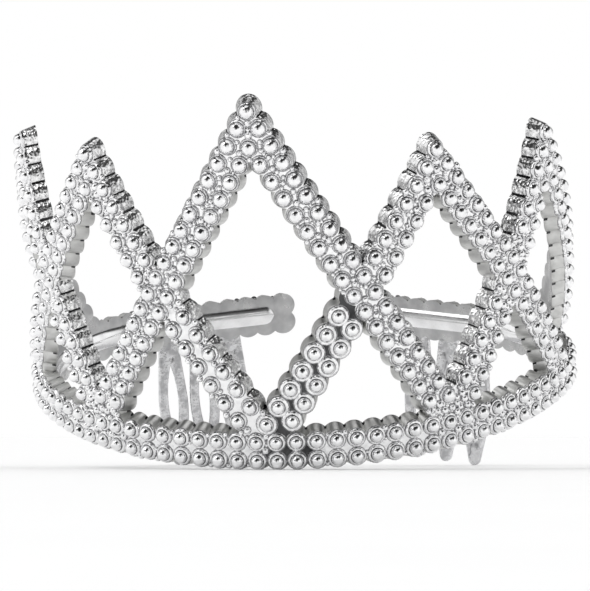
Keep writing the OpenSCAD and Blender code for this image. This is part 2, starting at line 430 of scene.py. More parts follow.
class MeshParts:
    """Vertices and faces that are gathered into one object."""

    # Square metres. A smaller face has collapsed onto its strip's limit and is left out.
    LEAST_AREA = 2e-5 * MM * MM

    def __init__(self) -> None:
        """Starts empty."""
        self.points: list[np.ndarray] = []
        self.faces: list[np.ndarray] = []
        self.kinds: list[np.ndarray] = []
        self.count = 0

    def add(self, points: np.ndarray, faces: np.ndarray, kind: Any) -> None:
        """Adds vertices and faces of four, a triangle repeating its last vertex.

        Args:
            points: Vertices, one row each.
            faces: Rows of four indices into points.
            kind: Number of the material that the faces take, or one for each face.
        """
        self.points.append(points.reshape(-1, 3))
        self.faces.append(faces + self.count)
        self.kinds.append(np.broadcast_to(kind, (len(faces),)))
        self.count += len(self.points[-1])

    def fan(self, points: np.ndarray, tip: np.ndarray, kind: int = 0, flip: bool = False) -> None:
        """Adds triangles from each pair of neighbours in a row of vertices to one tip.

        Args:
            points: The row of vertices.
            tip: The tip.
            kind: Number of the faces' material.
            flip: Whether the faces look the other way.
        """
        n = len(points)
        faces = np.array([[i, i + 1, n, n] for i in range(n - 1)])
        if flip:
            faces[:, :2] = faces[:, 1::-1]
        self.add(np.concatenate([points, np.reshape(tip, (1, 3))]), faces, kind)

    def grid(
        self,
        points: np.ndarray,
        kind: Any = 0,
        closed: tuple[bool, bool] = (False, False),
        flip: bool = False,
        past: Optional[np.ndarray] = None,
    ) -> None:
        """Adds a grid of vertices.

        Args:
            points: The vertices, in rows and columns.
            kind: Number of the faces' material, or one for each row of faces or for each face.
            closed: Whether the rows and the columns close on themselves.
            flip: Whether the faces look the other way.
            past: Which vertices lie past a limit. A face with all its corners there is left out.
        """
        rows, columns = points.shape[:2]
        i = np.arange(rows if closed[0] else rows - 1)[:, None]
        j = np.arange(columns if closed[1] else columns - 1)[None, :]
        i2, j2 = (i + 1) % rows, (j + 1) % columns
        corners = [i * columns + j, i * columns + j2, i2 * columns + j2, i2 * columns + j]
        faces = np.stack([c + 0 * (i + j) for c in corners], -1).reshape(-1, 4)
        if np.ndim(kind) < 2:
            kind = np.reshape(kind, (-1, 1))
        kinds = np.broadcast_to(kind, (len(i), j.shape[1])).reshape(-1)
        if past is not None:
            kept = ~past.reshape(-1)[faces].all(1)
            faces, kinds = faces[kept], kinds[kept]
        self.add(points, faces[:, ::-1] if flip else faces, kinds)

    def build(
        self,
        name: str,
        materials: Sequence[bpy.types.Material],
        nodes: Sequence[str],
        slot: Slot,
        crease: float = 40.0,
    ) -> None:
        """Makes the object, which rides on the crown's one body.

        Args:
            name: The piece's name.
            materials: Its materials, in the order of the kinds.
            nodes: The solids that it stands for.
            slot: The record's slot for its finish; not used.
            crease: Angle in degrees from which an edge stays sharp.
        """
        points = np.concatenate(self.points)
        quads = np.concatenate(self.faces)
        a, b, c, d = points[quads].transpose(1, 0, 2)
        whole = np.linalg.norm(np.cross(c - a, d - b), axis=1) > self.LEAST_AREA
        kinds = np.concatenate(self.kinds)[whole]
        used, quads = np.unique(quads[whole], return_inverse=True)
        points, quads = points[used], quads.reshape(-1, 4)
        mesh = bpy.data.meshes.new(name)
        mesh.from_pydata(
            points.tolist(), [], [q[:3] if q[2] == q[3] else q for q in quads.tolist()]
        )
        for material in materials:
            mesh.materials.append(material)
        mesh.polygons.foreach_set("material_index", kinds.astype(np.int32))
        mesh.validate()
        mesh.shade_smooth()
        mesh.set_sharp_from_angle(angle=math.radians(crease))
        piece = bpy.data.objects.new(name, mesh)
        bpy.context.scene.collection.objects.link(piece)
        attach(piece, "root")
        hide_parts(*nodes)
        LOG.info("%s: %d vertices, %d faces", name, len(points), len(quads))


@dataclass(frozen=True)
class Profile:
    """Sizes that the band and the struts share.

    Args:
        pitch: Distance between the beads of a row.
        row_gap: Distance between the two rows.
        bead_height: Height of a bead over the plate's face.
        plate_thickness: Thickness of the plate.
        face_edge: Reach of the face's scallops from their row of beads.
        back_edge: Reach of the back's scallops.
        face_notch: How deep the notches between the face's scallops are, 1 being all the way.
        back_notch: How deep the back's are.
    """

    pitch: float = 5.0
    row_gap: float = 4.8
    bead_height: float = 2.5
    plate_thickness: float = 3.5
    face_edge: float = 2.35
    back_edge: float = 3.4
    face_notch: float = 0.80
    back_notch: float = 0.52

    @property
    def face_d(self) -> float:
        """Distance outward of the plate's face."""
        return -self.bead_height / 2

    @property
    def back_d(self) -> float:
        """Distance outward of the plate's back."""
        return self.face_d - self.plate_thickness

    def edge(self, phase: np.ndarray, reach: float, notch: float) -> np.ndarray:
        """Reach of a scalloped edge from its row of beads, at the phase counted in beads."""
        x = 2 * (phase - np.round(phase))
        return reach * np.sqrt(1 - notch * x * x)


class BeadField:
    """All beads of the crown, so that none crowds another."""

    # Millimetres, more than the distance at which two of the largest beads crowd.
    CELL = 5.6
    # Beads, or pips and beads, crowd where they are nearer than this share of their radii.
    BEAD_SHARE = 0.84
    PIP_SHARE = 0.83

    def __init__(self) -> None:
        """Starts with no bead."""
        self.cells: dict[tuple[int, int], list[tuple[float, float, float]]] = {}

    def cell(self, s: float, z: float) -> tuple[int, int]:
        """The cell that s and z lie in."""
        return math.floor(s / self.CELL), math.floor(z / self.CELL)

    def free(self, s: float, z: float, radius: float, share: float) -> bool:
        """Whether a bead or pip has room.

        Args:
            s: Its place along the band.
            z: Its height.
            radius: Its radius.
            share: How near others may come, as a share of the radii of both.

        Returns:
            Whether nothing crowds it.
        """
        column, row = self.cell(s, z)
        for i in (column - 1, column, column + 1):
            for j in (row - 1, row, row + 1):
                for s2, z2, radius2 in self.cells.get((i, j), ()):
                    if math.hypot(s - s2, z - z2) < share * (radius + radius2):
                        return False
        return True

    def room(self, s: float, z: float) -> float:
        """Radius of the room that the beads about s and z leave there."""
        column, row = self.cell(s, z)
        near = [
            math.hypot(s - s2, z - z2) - self.BEAD_SHARE * radius
            for i in (column - 1, column, column + 1)
            for j in (row - 1, row, row + 1)
            for s2, z2, radius in self.cells.get((i, j), ())
        ]
        return min(near, default=math.inf)

    def take(self, s: float, z: float, radius: float) -> None:
        """Takes the room at s and z."""
        self.cells.setdefault(self.cell(s, z), []).append((s, z, radius))


@dataclass
class Strip:
    """Two rows of beads on a scalloped plate.

    Args:
        start: Place (s, z) where the count of beads begins, on the middle line.
        angle: Direction of the strip in degrees.
        first: Where the plate begins, counted in beads.
        last: Where it ends.
        pitch: Distance between beads.
        shifts: How far the rows on the left and right hand are set back, in beads.
        sink: How far the plate lies under those that cross it.
        scale: Size of its saucers.
        ball: Radius of its balls.
        limit: The middle of its peak, which it doesn't pass, as (side, s).
        dark: Where its face is in painted shadow, in beads from and to.
        bright: Whether its walls on the left and right hand are bright; the others are satin with
            painted shade.
        clean: Where its face is smooth between the rows, in beads from and to.
        round_ends: Whether its ends are rounded about their beads.
        mirror: Whether it is the mirror image, on the left side of the crown.
        profile: The sizes that it shares with the other strips.
    """

    start: tuple[float, float]
    angle: float
    first: float
    last: float
    pitch: float = Profile.pitch
    shifts: tuple[float, float] = (0.0, 0.0)
    sink: float = 0.0
    scale: float = 1.0
    ball: float = 1.66
    limit: Optional[tuple[int, float]] = None
    dark: tuple[float, float] = (0.0, 0.0)
    bright: tuple[bool, bool] = (False, False)
    clean: tuple[float, float] = (0.0, 0.0)
    round_ends: bool = False
    mirror: bool = False
    profile: Profile = Profile()

    # Steps of the plate's mesh for each bead, and lines of vertices across its face.
    STEPS = 12
    FACE_LINES = 7
    # How far a bead's middle may lie past the strip's ends, in beads.
    SLACK = 0.01
    # How far the limit may move a bead's middle before the bead is left out.
    MOST_MOVED = 0.4
    # Depth of the back's swell at each line across it, and of the notches along it.
    BACK_SWELL = (0.0, 0.16, 0.24, 0.16, 0.0, 0.16, 0.24, 0.16, 0.0)
    SWELL_NOTCH = 0.9
    # Steps of the outline of a round end and of a square one, and the sine of the largest
    # angle by which a round end goes on round its bead to the middle line.
    ROUND_STEPS = 15
    SQUARE_STEPS = 9
    MOST_WRAP = 0.86
    # Sides of a boss, and how far its face reaches past the scallops.
    BOSS_SIDES = 32
    BOSS_MARGIN = 0.07

    def spot(self, phase: Any, offset: Any, ahead: Any = 0.0) -> tuple[np.ndarray, np.ndarray]:
        """Places on the strip, none of them past its limit.

        Args:
            phase: Places along it, counted in beads.
            offset: Distances to the left hand from its middle line.
            ahead: Distances ahead of the phase.

        Returns:
            The places' s and z.
        """
        turn = math.radians(self.angle)
        along = np.asarray(phase, float) * self.pitch + ahead
        s = self.start[0] + along * math.cos(turn) - np.asarray(offset) * math.sin(turn)
        z = self.start[1] + along * math.sin(turn) + np.asarray(offset) * math.cos(turn)
        if self.limit is not None:
            side, middle = self.limit
            s = side * np.maximum(side * s, side * middle)
        return (-s if self.mirror else s), z

    def past(self, phase: Any, offset: Any, ahead: Any = 0.0) -> np.ndarray:
        """Which of those places the limit has moved."""
        s, _ = replace(self, mirror=False).spot(phase, offset, ahead)
        if self.limit is None:
            return np.zeros(np.shape(s), bool)
        side, middle = self.limit
        return side * (s - middle) < 1e-9

    def bead_spots(self) -> list[tuple[float, float]]:
        """Places (s, z) of the beads, in order along the strip."""
        spots = []
        for side, shift in zip((1, -1), self.shifts):
            low = math.ceil(self.first - shift - self.SLACK)
            for k in range(low, math.floor(self.last - shift) + 1):
                offset = side * self.profile.row_gap / 2
                s, z = map(float, self.spot(k + shift, offset))
                whole, _ = replace(self, limit=None).spot(k + shift, offset)
                if abs(s - float(whole)) < self.MOST_MOVED:
                    spots.append((k + shift, s, z))
        return [(s, z) for _, s, z in sorted(spots)]

    def levels(self) -> list[tuple[float, float]]:
        """The wall's outline from the back to the face, as (share of the back, d)."""
        face, back = self.profile.face_d - self.sink, self.profile.back_d + self.sink
        return [
            (1.0, back),
            (0.97, back + 0.2),
            (0.72, back * 0.72 + face * 0.28),
            (0.06, face - 0.32),
            (-0.04, face - 0.08),
            (-0.22, face),
        ]

    def reach(self, at: Any, row: int, share: float) -> Any:
        """Reach of the plate's scalloped edge from the strip's middle line.

        Args:
            at: Places along the strip, counted in beads.
            row: 0 for the edge on the left hand, 1 for the one on the right.
            share: 0 at the face, 1 at the back.

        Returns:
            The reach at each place.
        """
        p = self.profile
        own = at - self.shifts[row]
        top = p.edge(own, p.face_edge * self.scale, p.face_notch)
        low = p.edge(own, p.back_edge, p.back_notch)
        return p.row_gap / 2 + (top + (low - top) * share)

    def add_plate(self, wall: Wall, parts: MeshParts) -> None:
        """Adds the plate: its walls, its face, its swelling back and its ends.

        Args:
            wall: The wall that it follows.
            parts: The mesh that it goes into, with the materials of PlateKind.
        """
        steps = max(2, int(round((self.last - self.first) * self.STEPS)))
        phase = np.linspace(self.first, self.last, steps + 1)
        fine = np.linspace(self.first, self.last, 2 * steps + 1)

        def sheet(
            at: np.ndarray, lines: Sequence[tuple[np.ndarray, Any]], kind: Any, flip: bool
        ) -> None:
            """Adds the faces between lines of vertices along the strip.

            Args:
                at: Places of each line's vertices, counted in beads.
                lines: The offset and the d of each line.
                kind: The faces' material, or one for each step along it or for each face.
                flip: Whether the faces look the other way.
            """
            points = [wall.place(*self.spot(at, offset), d) for offset, d in lines]
            past = [self.past(at, offset) for offset, _ in lines]
            parts.grid(np.stack(points, 1), kind, flip=flip, past=np.stack(past, 1))

        levels = self.levels()
        for row, side in enumerate((1, -1)):
            lines = [(side * self.reach(fine, row, share), d) for share, d in levels]
            own = (fine[1:] + fine[:-1]) / 2 - self.shifts[row]
            # Bright walls are clean metal; the others are satin with painted shade.
            if self.bright[row]:
                kind, notch_from, notch_rings = PlateKind.GLOSS, 0.45, 4
            else:
                kind, notch_from, notch_rings = PlateKind.WALL, 0.43, 2
            kinds = np.full((2 * steps, len(levels) - 1), kind, int)
            # The notches between the scallops take the painted shadow.
            kinds[np.abs(own - np.round(own)) > notch_from, :notch_rings] = PlateKind.SHADOW
            sheet(fine, lines, kinds, (side < 0) == self.mirror)
        share, face = levels[-1]
        left, right = self.reach(phase, 0, share), -self.reach(phase, 1, share)
        across = np.linspace(0, 1, self.FACE_LINES)
        face_lines = [(left + (right - left) * t, face) for t in across]
        middle = (phase[1:] + phase[:-1]) / 2
        # The face's dark stretch takes the painted shadow.
        shadow = (middle > self.dark[0]) & (middle < self.dark[1])
        face_kinds = np.where(shadow, PlateKind.SHADOW, PlateKind.FACE)
        sheet(phase, face_lines, face_kinds, not self.mirror)
        left, right = self.reach(phase, 0, 1.0), -self.reach(phase, 1, 1.0)
        back, last_line = levels[0][1], len(self.BACK_SWELL) - 1
        back_lines = []
        for i, rise in enumerate(self.BACK_SWELL):
            own = phase - self.shifts[0 if 2 * i < last_line else 1]
            swell = rise * self.profile.edge(own, 1.0, self.SWELL_NOTCH)
            back_lines.append((left + (right - left) * i / last_line, back - swell))
        sheet(phase, back_lines, PlateKind.BACK, self.mirror)
        self.add_end(wall, parts, float(phase[0]), -1)
        self.add_end(wall, parts, float(phase[-1]), 1)

    def add_end(self, wall: Wall, parts: MeshParts, phase: float, ahead: int) -> None:
        """Adds one end of the plate, rounded about its two beads or square.

        Args:
            wall: The wall that it follows.
            parts: The mesh that it goes into.
            phase: Where the plate ends, counted in beads.
            ahead: 1 at the strip's last end, -1 at its first.
        """
        p = self.profile
        half = p.row_gap / 2
        rows, past = [], []
        for share, d in self.levels():
            radius = p.face_edge * self.scale
            radius += (p.back_edge - radius) * share
            if self.round_ends:
                inner = math.asin(min(self.MOST_WRAP, half / radius))
                turns = np.linspace(math.pi / 2, -inner, self.ROUND_STEPS)
                out = np.concatenate([np.cos(turns), np.cos(turns[::-1])]) * radius
                up = half + np.sin(turns) * radius
                offset = np.concatenate([up, -up[::-1]])
            else:
                out = np.zeros(self.SQUARE_STEPS)
                narrow = min(float(self.reach(phase, row, share)) for row in (0, 1))
                offset = np.linspace(half + radius, -half - radius, self.SQUARE_STEPS)
                offset *= narrow / (half + radius)
            rows.append(wall.place(*self.spot(phase, offset, ahead * out), d))
            past.append(self.past(phase, offset, ahead * out))
        grid = np.stack(rows, 1)
        flip = (ahead > 0) == self.mirror
        # The end's wall is satin with painted shade.
        parts.grid(grid, PlateKind.WALL, flip=not flip, past=np.stack(past, 1))
        for level, kind in ((-1, PlateKind.FACE), (0, PlateKind.BACK)):
            tip = wall.place(*self.spot(phase, 0.0), self.levels()[level][1])
            parts.fan(grid[:, level], tip, kind, flip=flip == (kind is PlateKind.FACE))

    def add_boss(self, wall: Wall, parts: MeshParts) -> None:
        """Adds the round boss about the bead at the strip's start, where its peak is.

        Args:
            wall: The wall that it stands on.
            parts: The mesh that it goes into.
        """
        shift, side = (self.shifts[0], 1) if self.shifts[0] == 0 else (self.shifts[1], -1)
        s, z = map(float, self.spot(shift, side * self.profile.row_gap / 2))
        turn = np.linspace(0, 2 * math.pi, self.BOSS_SIDES + 1)[:-1]
        rows = []
        for share, d in self.levels():
            radius = self.profile.face_edge + self.BOSS_MARGIN
            radius += (self.profile.back_edge - radius) * share
            rows.append(wall.place(s + radius * np.cos(turn), z + radius * np.sin(turn), d))
        parts.grid(np.stack(rows, 0), PlateKind.GLOSS, (False, True), flip=True)
        for level, kind in ((-1, PlateKind.FACE), (0, PlateKind.BACK)):
            loop = np.concatenate([rows[level], rows[level][:1]])
            tip = wall.place(s, z, self.levels()[level][1])
            parts.fan(loop, tip, kind, flip=kind is PlateKind.BACK)


def add_turned(
    wall: Wall,
    parts: MeshParts,
    place: tuple[float, float, float],
    outline: np.ndarray,
    turn: np.ndarray,
    tip: Optional[float],
    kinds: Sequence[int] = (0,),
) -> None:
    """Adds a shape turned about the wall's normal.

    Args:
        wall: The wall that it stands on.
        parts: The mesh that it goes into.
        place: Its middle (s, z, d).
        outline: Its outline as rows of (radius, height).
        turn: The angles of its sides, the last of which is the first again.
        tip: Height of its top, or None where it stays open.
        kinds: Finish of each ring of its outline, or one for all.
    """
    s, z, d = place
    u = outline[:, 0][:, None] * np.cos(turn)
    v = outline[:, 0][:, None] * np.sin(turn)
    h = outline[:, 1][:, None] + 0 * turn
    points = wall.place(s + u, z + v, d + h)
    parts.grid(points[:, :-1], np.asarray(kinds), (False, True), flip=True)
    if tip is not None:
        parts.fan(points[-1], wall.place(s, z, d + tip), 0)


@dataclass
class Bead:
    """A ball on a saucer.

    Args:
        saucer: Radius of the saucer at a scale of 1.
        saucer_height: Height of its rim over the plate.
        height: Height of the ball's top over the plate.
        groove: Width of the groove between the ball and the rim, which is painted dark as its
            shade.
        ring: Width of the ring of painted shade on the plate about the saucer.
        sides: Number of sides of the ball and of the saucer.
    """

    saucer: float = 2.26
    saucer_height: float = 0.78
    height: float = Profile.bead_height
    groove: float = 0.2
    ring: float = 0.14
    sides: int = 16

    # Materials of the rings between the points of the saucer's outline; painted shade lies at its
    # foot and in the groove.
    KINDS = (BeadKind.GROOVE,) * 3 + (BeadKind.BEZEL,) * 5 + (BeadKind.GROOVE,)

    def room(self, scale: float) -> float:
        """Radius of the room that a bead takes, by the scale of its strip."""
        return Profile.pitch / 4 * (1 + scale)

    def profiles(self, scale: float, ball: float) -> tuple[np.ndarray, np.ndarray]:
        """Outlines of the saucer and the ball, as rows of (radius, height over the plate).

        Args:
            scale: Size of the saucer.
            ball: Radius of the ball.

        Returns:
            The saucer's outline and the ball's, each from the plate up.
        """
        rim = scale * self.saucer
        h = self.saucer_height
        groove = ball + self.groove
        saucer = np.array(
            [
                [rim * 0.84, -0.5],
                [rim + self.ring, -0.12],
                [rim + self.ring, 0.03],
                [rim, 0.02],
                [rim * 0.985, 0.40 * h],
                [rim * 0.94, 0.72 * h],
                [rim * 0.87, 0.93 * h],
                [max(rim * 0.78, groove), h],
                [groove, 0.97 * h],
                [ball * 0.98, 0.80 * h],
            ]
        )
        middle = self.height - ball
        turns = np.radians([-4, 8, 24, 40, 56, 72, 84])
        return saucer, np.stack([ball * np.cos(turns), middle + ball * np.sin(turns)], -1)

    def add(
        self, wall: Wall, parts: MeshParts, s: float, z: float, face_d: float, strip: Strip
    ) -> None:
        """Adds one bead.

        Args:
            wall: The wall that it stands on.
            parts: The mesh that it goes into.
            s: Place of its middle along the band.
            z: Height of its middle.
            face_d: Distance outward of the plate's face.
            strip: The strip that it belongs to.
        """
        turn = np.arange(self.sides + 1) * 2 * math.pi / self.sides
        saucer, ball = self.profiles(strip.scale, strip.ball)
        place = (s, z, face_d)
        add_turned(wall, parts, place, saucer, turn, None, self.KINDS)
        add_turned(wall, parts, place, ball, turn, self.height)


@dataclass
class Pip:
    """One of the small bumps between the beads.

    Args:
        sides: Number of its sides.
        height: Height of the highest.
        steepness: Height over radius, where that comes out lower.
        ring: Width of the ring of painted shade about its foot.
        smallest: Least radius.
        largest: Greatest radius, on the strip's middle line.
        shrink: How much smaller that is at the strip's edges.
    """

    sides: int = 10
    height: float = 1.2
    steepness: float = 1.3
    ring: float = 0.12
    smallest: float = 0.4
    largest: float = 1.0
    shrink: float = 0.2

    # Its outline from the plate up, over its radius and its height.
    SHAPE = ((1.0, 0.0), (0.96, 0.4), (0.78, 0.72), (0.45, 0.93))
    # Painted shade in the ring at its foot, bright metal above.
    KINDS = (BeadKind.GROOVE,) + (BeadKind.BALL,) * 3

    def add(
        self, wall: Wall, parts: MeshParts, s: float, z: float, face_d: float, radius: float
    ) -> None:
        """Adds one pip.

        Args:
            wall: The wall that it stands on.
            parts: The mesh that it goes into.
            s: Place of its middle along the band.
            z: Height of its middle.
            face_d: Distance outward of the plate's face.
            radius: Its radius.
        """
        turn = np.arange(self.sides + 1) * 2 * math.pi / self.sides
        height = min(self.height, radius * self.steepness)
        shape = np.array(self.SHAPE) * [radius, height]
        outline = np.concatenate([[[radius + self.ring, 0.02]], shape])
        add_turned(wall, parts, (s, z, face_d), outline, turn, height, self.KINDS)


@dataclass
class Strut:
    """A strut from the top bead of a peak down to its foot on the band.

    Args:
        top: Distance along the band, from the middle of the front, of the top bead.
        foot: The same of the foot of its middle line, at the band's upper row.
        height: Height of the top bead over that row.
        pitch: Distance between its beads.
        row_gap: Distance between its rows.
    """

    top: float
    foot: float
    height: float
    pitch: float = Profile.pitch
    row_gap: float = Profile.row_gap

    @property
    def side(self) -> int:
        """1 where the strut runs away from the front as it goes down, or else -1."""
        return 1 if self.foot > self.top else -1

    @property
    def bead_angle(self) -> float:
        """Angle at the foot between the middle line and the line to the top bead."""
        return math.asin(self.row_gap / 2 / math.hypot(self.foot - self.top, self.height))

    @property
    def length(self) -> float:
        """Length of the middle line."""
        return math.hypot(self.foot - self.top, self.height) * math.cos(self.bead_angle)

    @property
    def run(self) -> np.ndarray:
        """Unit vector down the strut in s and z."""
        slope = math.atan2(self.height, abs(self.foot - self.top)) - self.bead_angle
        return np.array([self.side * math.cos(slope), -math.sin(slope)])

    @property
    def start(self) -> np.ndarray:
        """Place (s, z) on the middle line beside the top bead."""
        return np.array([self.foot, 0.0]) - self.length * self.run

    def crossing(self, other: "Strut") -> float:
        """Distance down to the place where another strut crosses."""
        apart = other.start - self.start
        run, across = self.run, other.run
        return (apart[0] * across[1] - apart[1] * across[0]) / (
            run[0] * across[1] - run[1] * across[0]
        )

    def strip(self, first: float, last: float, **changes: Any) -> Strip:
        """The strip of beads between two distances down the strut.

        Args:
            first: Where it begins.
            last: Where it ends.
            changes: Sizes of the strip that differ from the common ones.

        Returns:
            The strip.
        """
        pitch = changes.get("pitch", self.pitch)
        run = self.run
        given = {
            "shifts": (0.0, 0.5) if self.side > 0 else (0.5, 0.0),
            # The outer walls are bright; the inner walls, which face down and in, take the
            # painted shade.
            "bright": (self.side > 0, self.side < 0),
        }
        return Strip(
            (float(self.start[0]), float(self.start[1])),
            math.degrees(math.atan2(run[1], run[0])),
            first / pitch,
            last / pitch,
            **(given | changes),
        )


@dataclass
class Piece:
    """One node of the crown and its strips of beads.

    Args:
        node: The node's name.
        strips: Its strips, with the highest first.
    """

    node: str
    strips: list[Strip]


class BeadedWork:
    """Builds the plates, beads and pips of all pieces."""

    # Seed of the pips' places, and how many are tried for each bead of a strip's length.
    SEED = 7
    TRIES = 70
    # How far pips stay from a strip's ends, in beads.
    END_MARGIN = 0.1
    # How far they lie outside the rows, and how wide the clean way between the rows is.
    SIDE_REACH = 1.8
    CLEAN_REACH = 1.3
    # How far a boss stands over the plates of its peak.
    BOSS_RISE = 0.01

    def __init__(self, wall: Wall, finishes: Finishes) -> None:
        """Keeps the wall and the finishes, and starts an empty field of beads."""
        self.wall = wall
        self.finishes = finishes
        self.field = BeadField()
        self.bead = Bead()
        self.pip = Pip()
        self.chance = np.random.default_rng(self.SEED)
        self.beads: dict[str, list[tuple[float, float, Strip]]] = {}

    def claim(self, piece: Piece) -> None:
        """Takes the places of a piece's beads that no earlier bead crowds."""
        kept = []
        for strip in piece.strips:
            radius = self.bead.room(strip.scale)
            for s, z in strip.bead_spots():
                if self.field.free(s, z, radius, BeadField.BEAD_SHARE):
                    self.field.take(s, z, radius)
                    kept.append((s, z, strip))
        self.beads[piece.node] = kept

    def build(self, piece: Piece) -> None:
        """Builds the plate and the beads of one piece."""
        f = self.finishes
        plate = MeshParts()
        for strip in piece.strips:
            strip.add_plate(self.wall, plate)
        highest = piece.strips[0]
        if highest.first == 0:
            replace(highest, sink=highest.sink - self.BOSS_RISE).add_boss(self.wall, plate)
        plate.build(
            piece.node + "_plate",
            [f.of(look) for look in (f.FACE, f.WALL, f.BACK, f.SHADOW, f.GLOSS)],
            [piece.node],
            Slot.COATED,
        )
        beads = MeshParts()
        face_d = piece.strips[0].profile.face_d
        for s, z, strip in self.beads[piece.node]:
            self.bead.add(self.wall, beads, s, z, face_d - strip.sink, strip)
        for s, z, radius in self.pips(piece):
            self.pip.add(self.wall, beads, s, z, face_d, radius)
        beads.build(
            piece.node + "_beads",
            [f.of(look) for look in (f.BALL, f.GROOVE, f.BEZEL)],
            [piece.node],
            Slot.COATED,
            ROUND_CREASE,
        )

    def pips(self, piece: Piece) -> list[tuple[float, float, float]]:
        """Places and radii of the small bumps on a piece's plates.

        Args:
            piece: The piece.

        Returns:
            The s, z and radius of each bump, the largest first.
        """
        spots = []
        for strip in piece.strips:
            if strip.dark[1] > strip.last:
                continue
            length = strip.last - strip.first
            half = strip.profile.row_gap / 2 + self.SIDE_REACH
            tries = (int(length * self.TRIES), 2)
            for along, across in self.chance.uniform((0, -1), (1, 1), tries):
                at = strip.first + self.END_MARGIN + along * (length - 2 * self.END_MARGIN)
                if strip.dark[0] < at < strip.dark[1]:
                    continue
                clean = strip.clean[0] < at < strip.clean[1]
                if clean and abs(across) * half < self.CLEAN_REACH:
                    continue
                s, z = map(float, strip.spot(at, across * half))
                most = self.pip.largest - self.pip.shrink * abs(across)
                room = min(self.field.room(s, z), most)
                if room > self.pip.smallest:
                    spots.append((room, s, z))
        found = []
        for room, s, z in sorted(spots, reverse=True):
            if self.field.free(s, z, room, BeadField.PIP_SHARE):
                self.field.take(s, z, room)
                found.append((s, z, room))
        return found


@dataclass
class Rib:
    """The smooth rounded rib inside the band, with its crest above its middle.

    Args:
        height: Height of the rib.
        end: Distance along the band from the front to its ends.
        middle_z: Height of its middle.
        back_d: Distance outward of the plate's back, from which it rises.
        steps: Number of places along it.
        end_steps: Number of places along each round end.
        end_angle: Angle in degrees round the end at which it begins.
        section: Its section, as rows of (z over half its height, depth over the back).
    """

    height: float = 5.6
    end: float = 185.0
    middle_z: float = -2.4
    back_d: float = Profile().back_d
    steps: int = 260
    end_steps: int = 9
    end_angle: float = 86.0
    section: tuple[tuple[float, float], ...] = (
        (1.0, -0.45), (0.985, 0.02), (0.93, 0.36), (0.74, 0.86), (0.5, 1.26), (0.32, 1.46),
        (0.2, 1.53), (0.08, 1.53), (-0.04, 1.46), (-0.4, 1.08), (-0.78, 0.58), (-0.93, 0.30),
        (-0.985, 0.0), (-1.0, -0.45),
    )

    def build(self, wall: Wall, finishes: Finishes) -> None:
        """Builds the rib along the whole band, with round ends."""
        half = self.height / 2
        turns = np.radians(np.linspace(self.end_angle, 0, self.end_steps))
        reach = self.end - half
        ends = reach + half * np.sin(turns)
        inner = np.linspace(-reach, reach, self.steps)[1:-1]
        places = np.concatenate([-ends, inner, ends[::-1]])
        size = np.concatenate([np.cos(turns), np.ones(len(inner)), np.cos(turns[::-1])])
        z, depth = np.array(self.section).T
        rise = np.maximum(depth, 0) * np.sqrt(size)[:, None] + np.minimum(depth, 0)
        points = wall.place(
            places[:, None], self.middle_z + half * z * size[:, None], self.back_d - rise
        )
        parts = MeshParts()
        parts.grid(points, 0, flip=True)
        looks = [finishes.of(Finishes.RIB)]
        parts.build("headband_rib", looks, ["headband"], Slot.COATED, ROUND_CREASE)


